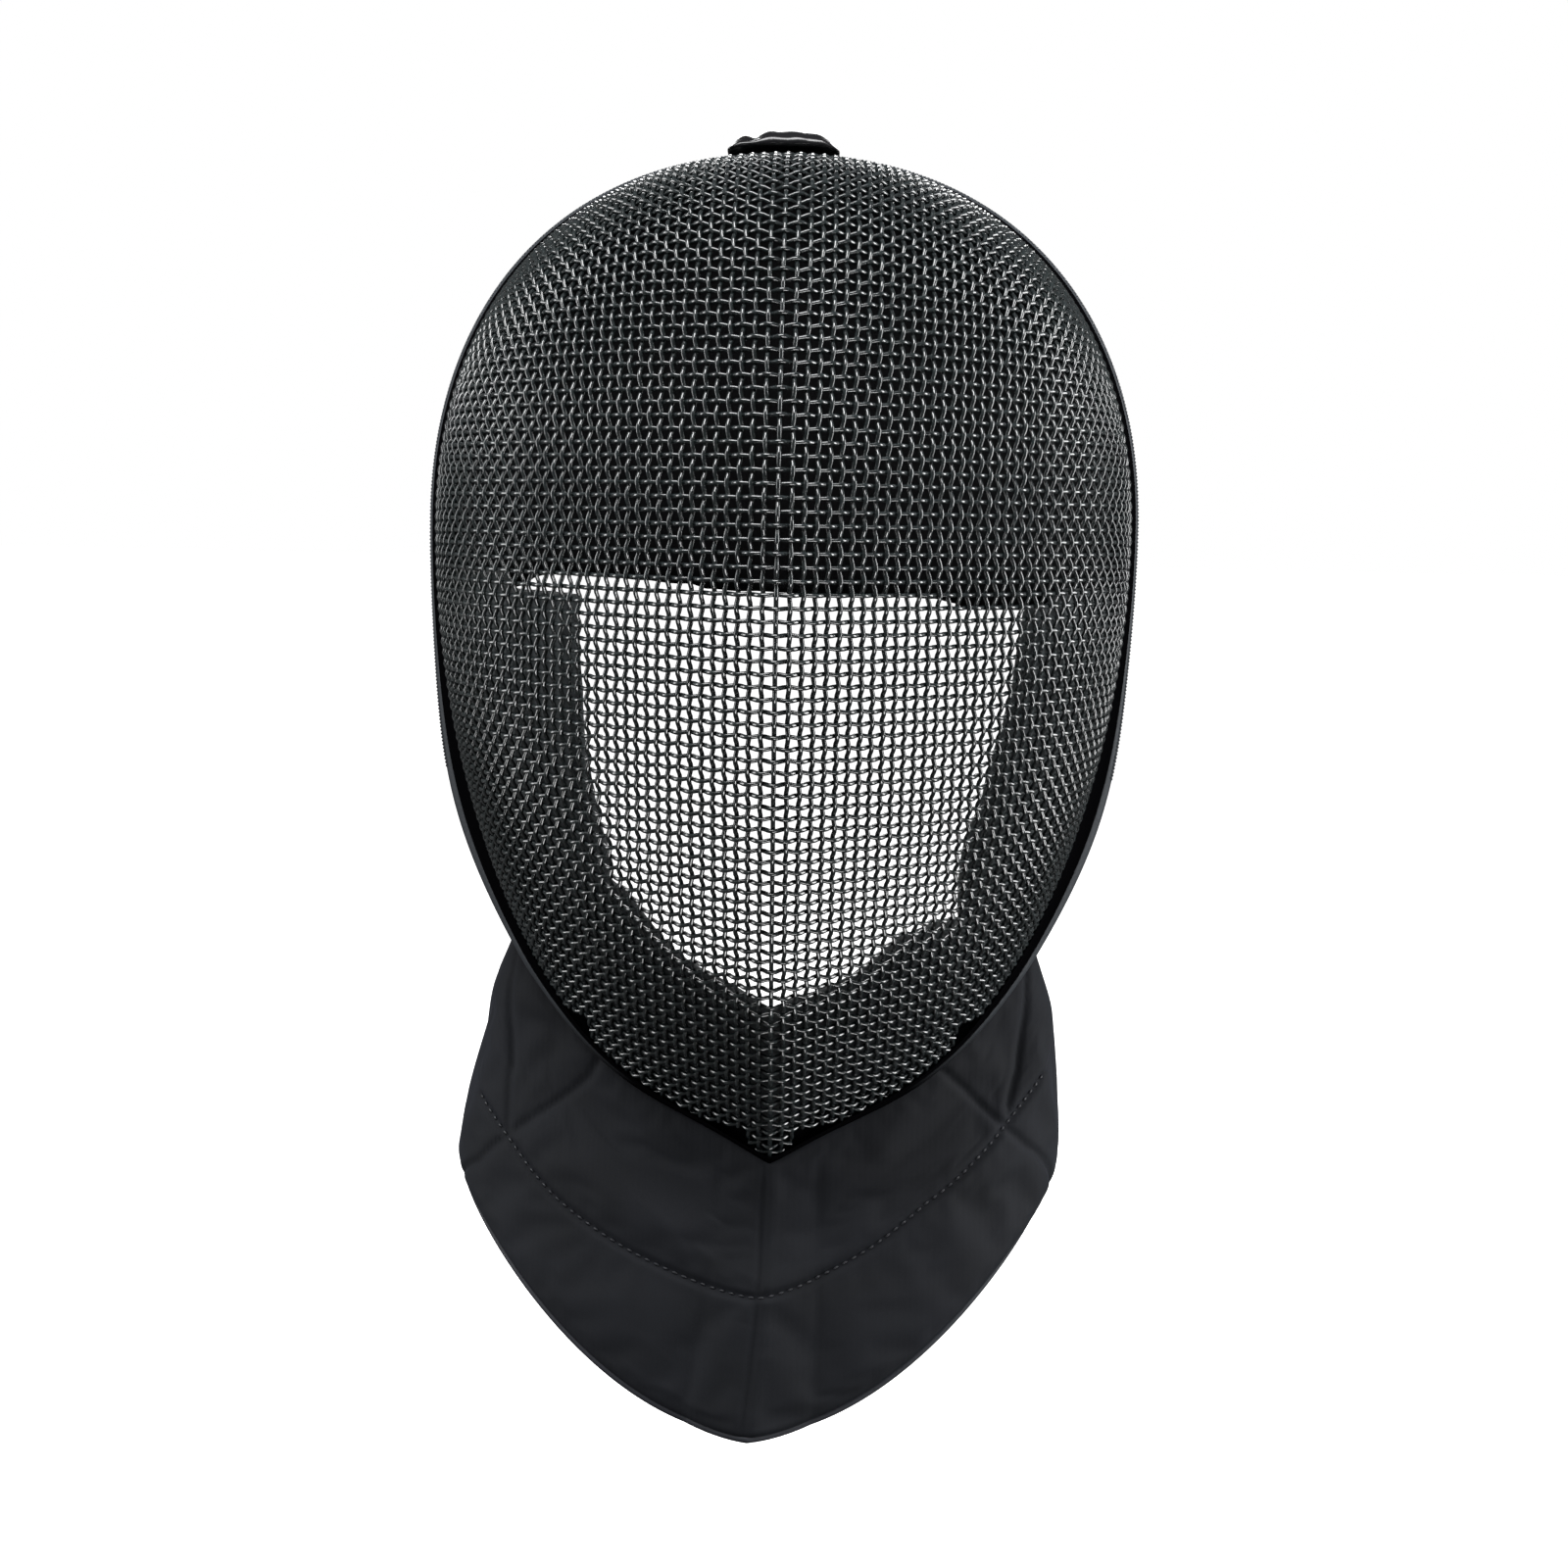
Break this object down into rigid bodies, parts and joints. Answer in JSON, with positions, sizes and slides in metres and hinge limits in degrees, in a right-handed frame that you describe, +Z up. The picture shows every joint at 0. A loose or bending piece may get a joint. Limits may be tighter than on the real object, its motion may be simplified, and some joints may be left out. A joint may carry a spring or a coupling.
{
  "type": "fencing mask",
  "caption": "Protective sports mask: keeled wire mesh bowl with padded edge trim, hanging cloth bib, inner pads and a sleeved spring tongue at the crown.",
  "frame": {"origin": "where the top of the head touches the underside of the tongue at the crown", "axes": "+X to the right of someone who faces the mask, +Y from the face to the back of the head, +Z up as the mask is worn"},
  "size_m": [0.1964, 0.231, 0.3415],
  "materials": {
    "wire_mesh": "dark painted woven steel wire",
    "edge_binding": "dark grey binding with fine cross ribs, satin",
    "bib_cloth": "near-black navy padded cloth, matte with a soft sheen",
    "crown_lining": "near-black matte lining",
    "padding": "dark grey padded fabric",
    "tongue_sleeve": "near-black fabric sleeve",
    "cover_vinyl": "black gloss vinyl, softly puckered"
  },
  "bodies": {
    "root": {"mesh_bowl": "wire_mesh", "edge_trim": "edge_binding", "bib": "bib_cloth", "forehead_pad": "crown_lining", "cheek_pad_left": "padding", "cheek_pad_right": "padding", "chin_pad": "padding", "tongue": "tongue_sleeve", "tongue_cover": "cover_vinyl"}
  },
  "joints": []
}
